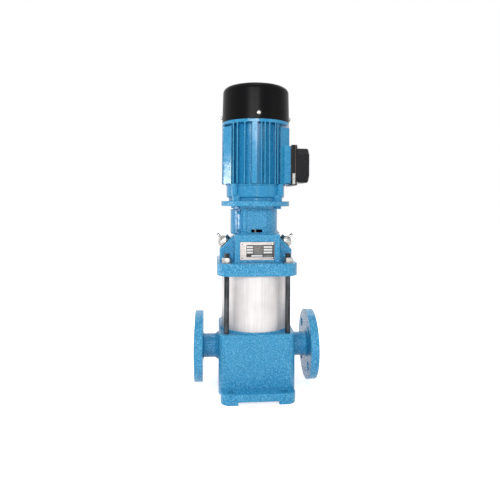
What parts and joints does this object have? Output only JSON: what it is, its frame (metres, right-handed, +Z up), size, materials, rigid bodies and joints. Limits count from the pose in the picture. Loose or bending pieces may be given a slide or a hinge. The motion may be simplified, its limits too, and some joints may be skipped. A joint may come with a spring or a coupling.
{
  "type": "vertical multistage pump",
  "caption": "Vertical in-line pump: flanged cast base, steel stage sleeve held by tie rods, cast head with vent plugs, coupling stool and finned electric motor with terminal box.",
  "frame": {"origin": "centre of the base footprint, on the floor, under the shaft axis", "axes": "+Z up along the shaft, +X from the inlet to the outlet, the nameplate faces -Y"},
  "size_m": [0.246, 0.21, 0.606],
  "materials": {
    "blue_casting": "gloss blue enamel on sand-cast iron",
    "blue_motor": "gloss blue enamel on die-cast aluminium",
    "stainless": "rolled stainless steel",
    "rod_steel": "plain turned steel",
    "plated_steel": "zinc-plated steel",
    "plate_aluminium": "brushed aluminium plate, blank",
    "guard_sheet": "gloss blue enamel on sheet steel",
    "painted_screws": "gloss blue enamel over steel screws",
    "black_cover": "satin black powder coat on pressed steel",
    "black_plastic": "moulded black plastic",
    "black_rubber": "moulded rubber",
    "fibre_washer": "pressed fibre",
    "brass": "turned brass",
    "copper": "varnished copper wire",
    "lamination": "stacked steel sheets",
    "bearing_steel": "ground bearing steel",
    "carbon": "pressed carbon",
    "iron_coupling": "machined cast iron"
  },
  "bodies": {
    "root": {"base_casting": "blue_casting", "bearing_outer_rings": "bearing_steel", "cable_gland": "black_plastic", "chamber_1": "stainless", "chamber_2": "stainless", "chamber_3": "stainless", "chamber_4": "stainless", "coupling_guard": "guard_sheet", "discharge_bowl": "stainless", "drain_plug": "plated_steel", "fan_cover": "black_cover", "fan_cover_screws": "plated_steel", "guard_screws": "painted_screws", "lower_end_shield": "blue_motor", "motor_flange_bolts": "painted_screws", "motor_frame": "blue_motor", "nameplate": "plate_aluminium", "nameplate_rivets": "plated_steel", "outer_sleeve": "stainless", "plug_washers": "fibre_washer", "pump_head": "blue_casting", "seal_seat": "carbon", "shaft_bushes": "carbon", "sleeve_seals": "black_rubber", "stator_core": "lamination", "stator_windings": "copper", "suction_ring": "stainless", "terminal_base": "black_plastic", "terminal_board": "black_plastic", "terminal_cover": "black_plastic", "terminal_gasket": "black_rubber", "terminal_screws": "plated_steel", "terminal_studs": "brass", "tie_rod_nuts": "plated_steel", "tie_rod_washers": "plated_steel", "tie_rods": "rod_steel", "upper_end_shield": "blue_motor", "vent_plug_left": "plated_steel", "vent_plug_right": "plated_steel"},
    "rotor": {"motor_shaft": "rod_steel", "rotor_core": "lamination", "fan": "black_plastic", "pump_shaft": "stainless", "impeller_1": "stainless", "impeller_2": "stainless", "impeller_3": "stainless", "impeller_4": "stainless", "impeller_spacers": "stainless", "coupling_front": "iron_coupling", "coupling_back": "iron_coupling", "coupling_screws": "rod_steel", "seal_ring": "carbon", "seal_bellows": "black_rubber", "seal_collar": "stainless", "bearing_inner_rings": "bearing_steel"},
    "balls": {"bearing_balls": "bearing_steel"},
    "vent_spindle_left": {"vent_spindle_left": "plated_steel"},
    "vent_handle_left": {"vent_handle_left": "plated_steel"},
    "vent_spindle_right": {"vent_spindle_right": "plated_steel"},
    "vent_handle_right": {"vent_handle_right": "plated_steel"}
  },
  "joints": [
    {"name": "shaft_spin", "type": "hinge", "parent": "root", "child": "rotor", "pos_m": [0, 0, 0.34], "axis": [0, 0, 1], "continuous": true},
    {"name": "ball_spin", "type": "hinge", "parent": "root", "child": "balls", "pos_m": [0, 0, 0.4], "axis": [0, 0, 1], "continuous": true},
    {"name": "vent_left_rise", "type": "slide", "parent": "root", "child": "vent_spindle_left", "axis": [-0.7071, 0, 0.7071], "range_m": [0, 0.0016]},
    {"name": "vent_left_turn", "type": "hinge", "parent": "vent_spindle_left", "child": "vent_handle_left", "pos_m": [-0.0605, 0, 0.2905], "axis": [-0.7071, 0, 0.7071], "range_deg": [0, 720]},
    {"name": "vent_right_rise", "type": "slide", "parent": "root", "child": "vent_spindle_right", "axis": [0.7071, 0, 0.7071], "range_m": [0, 0.0016]},
    {"name": "vent_right_turn", "type": "hinge", "parent": "vent_spindle_right", "child": "vent_handle_right", "pos_m": [0.0605, 0, 0.2905], "axis": [0.7071, 0, 0.7071], "range_deg": [0, 720]}
  ],
  "couplings": [
    {"joint": "ball_spin", "follows": "shaft_spin", "ratio": 0.375},
    {"joint": "vent_left_turn", "follows": "vent_left_rise", "rad_per_m": 7853.9},
    {"joint": "vent_right_turn", "follows": "vent_right_rise", "rad_per_m": 7853.9}
  ]
}
